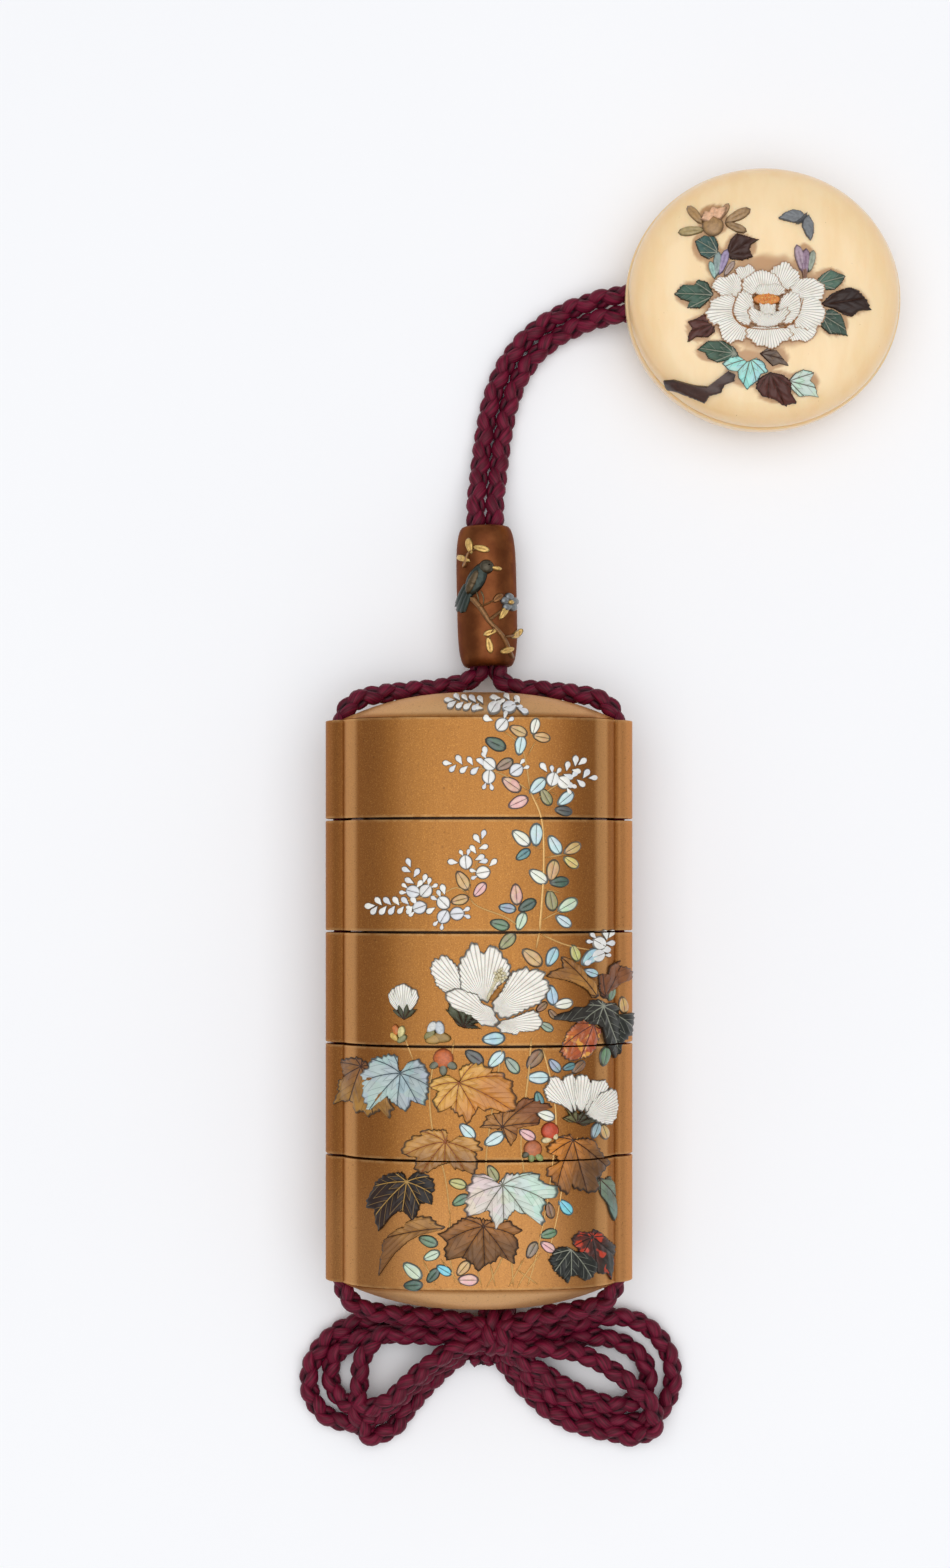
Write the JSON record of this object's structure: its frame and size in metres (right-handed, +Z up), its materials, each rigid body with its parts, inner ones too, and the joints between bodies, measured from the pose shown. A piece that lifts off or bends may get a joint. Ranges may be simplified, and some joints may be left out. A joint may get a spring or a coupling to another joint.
{
  "type": "inro case",
  "caption": "Tiered gold-lacquer inro with raised flower inlay, lying on its back, with silk cord tied in a bow below, a metal bead and a round netsuke.",
  "frame": {"origin": "middle of the flat spot on the back of case 2, on the surface that the inro lies on", "axes": "+Y along the inro towards its lid, +Z up out of its inlaid front, +X to the right seen from the front"},
  "size_m": [0.0915, 0.1947, 0.0251],
  "materials": {
    "gold_lacquer": "satin gold-dusted lacquer on wood",
    "white_inlay": "carved and polished white inlay",
    "shell_inlay": "iridescent shell",
    "horn_inlay": "engraved brown and black horn",
    "amber_inlay": "engraved amber-coloured horn",
    "green_inlay": "engraved stained green inlay",
    "ivory_coloured_body": "polished cream",
    "bead_metal": "brown patinated copper alloy",
    "relief_metal": "dark and pale metal relief",
    "silk_cord": "four-strand braided silk"
  },
  "bodies": {
    "root": {"inro_lid": "gold_lacquer", "inro_case_1": "gold_lacquer", "inro_case_2": "gold_lacquer", "inro_case_3": "gold_lacquer", "inro_base_case": "gold_lacquer", "hibiscus_blossom": "white_inlay", "hibiscus_calyx": "green_inlay", "bud_blossom": "white_inlay", "bud_calyx": "green_inlay", "side_blossom": "white_inlay", "side_calyx": "green_inlay", "orange_bud": "amber_inlay", "lower_orange_bud": "amber_inlay", "grey_shell_leaf": "shell_inlay", "golden_leaf": "horn_inlay", "amber_leaf": "amber_inlay", "small_amber_leaf_upper": "amber_inlay", "small_amber_leaf_lower": "amber_inlay", "small_brown_leaf": "horn_inlay", "autumn_leaf_upper": "horn_inlay", "autumn_leaf_lower": "horn_inlay", "black_leaf": "horn_inlay", "pale_shell_leaf": "shell_inlay", "brown_centre_leaf": "horn_inlay", "folded_leaf": "horn_inlay", "dark_veined_leaf": "horn_inlay", "mottled_leaf": "horn_inlay", "slender_leaf": "green_inlay", "dark_leaf_upper": "horn_inlay", "dark_leaf_lower": "horn_inlay", "upper_brown_leaf": "horn_inlay", "shoulder_leaf": "horn_inlay", "tortoiseshell_leaf_upper": "horn_inlay", "tortoiseshell_leaf_lower": "horn_inlay", "ojime_bead": "bead_metal", "ojime_bird": "relief_metal", "ojime_branch": "relief_metal", "netsuke_front_half": "ivory_coloured_body", "netsuke_back_half": "ivory_coloured_body", "peony_blossom": "white_inlay", "netsuke_leaf_1": "green_inlay", "netsuke_leaf_2": "horn_inlay", "netsuke_leaf_3": "green_inlay", "netsuke_leaf_4": "shell_inlay", "netsuke_leaf_5": "horn_inlay", "netsuke_leaf_6": "shell_inlay", "netsuke_leaf_7": "green_inlay", "netsuke_leaf_8": "horn_inlay", "netsuke_leaf_9": "shell_inlay", "netsuke_leaf_10": "shell_inlay", "netsuke_leaf_11": "horn_inlay", "netsuke_leaf_12": "green_inlay", "netsuke_bud": "amber_inlay", "netsuke_branch": "horn_inlay", "netsuke_butterfly": "shell_inlay", "cord_left_upper": "silk_cord", "cord_left_runner": "silk_cord", "cord_right_upper": "silk_cord", "cord_right_runner": "silk_cord", "cord_bow": "silk_cord"}
  },
  "joints": []
}
